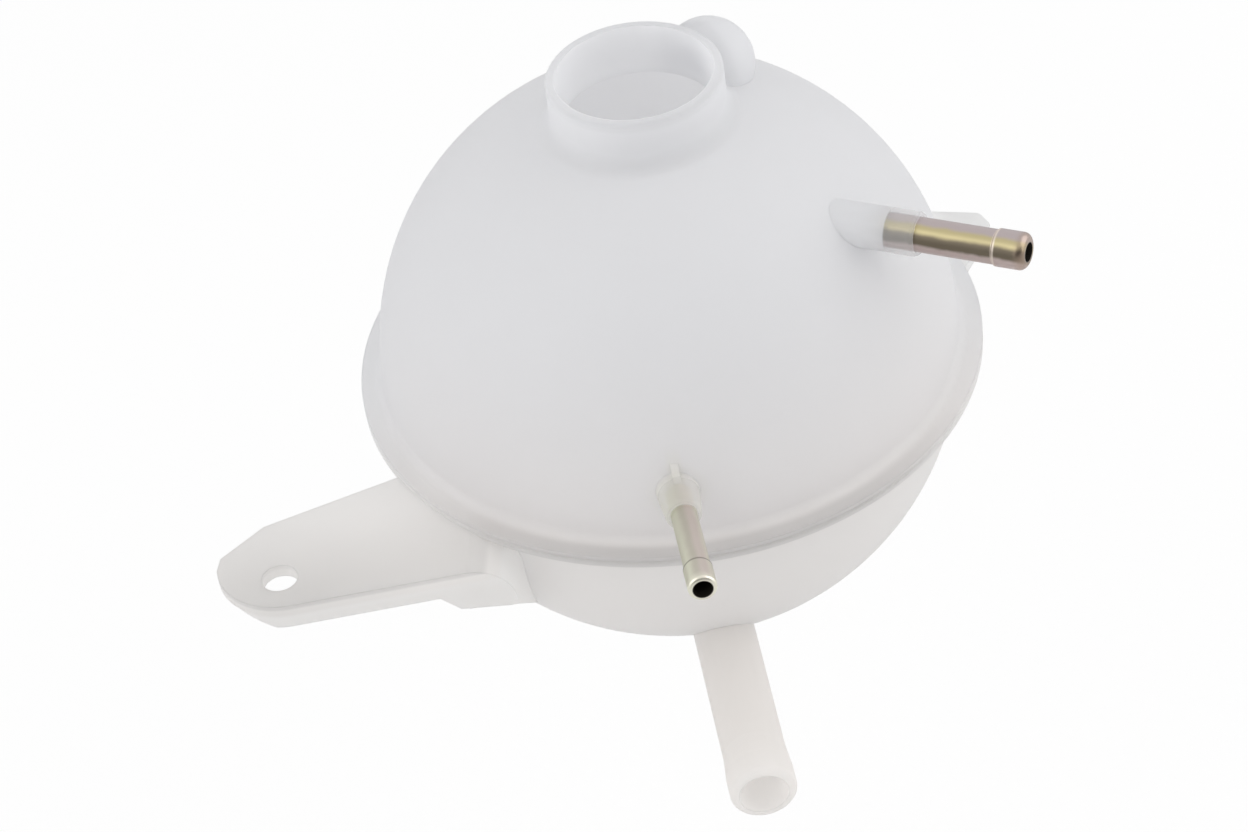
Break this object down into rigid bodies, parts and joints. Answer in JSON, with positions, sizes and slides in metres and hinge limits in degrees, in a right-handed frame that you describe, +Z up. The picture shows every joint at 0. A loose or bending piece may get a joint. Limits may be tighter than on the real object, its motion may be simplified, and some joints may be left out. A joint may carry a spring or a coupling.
{
  "type": "coolant expansion tank",
  "caption": "Ball-shaped engine coolant expansion tank in milky plastic, welded at a flange, with a filler neck, hose spigots, a lower outlet and a bolt-on ear.",
  "frame": {"origin": "centre of the filler neck's mouth", "axes": "+Z up the neck's axis, -Y out along the outlet pipe, +X towards the side of the larger hose spigot"},
  "size_m": [0.2487, 0.225, 0.1892],
  "materials": {
    "upper_plastic": "satin, milky and see-through to light",
    "lower_plastic": "satin, milky and see-through to light",
    "yellow_plated_steel": "yellow zinc plating",
    "pale_plated_steel": "pale zinc plating"
  },
  "bodies": {
    "root": {"upper_shell": "upper_plastic", "lower_shell": "lower_plastic", "right_hose_spigot": "yellow_plated_steel", "front_hose_spigot": "pale_plated_steel"}
  },
  "joints": []
}
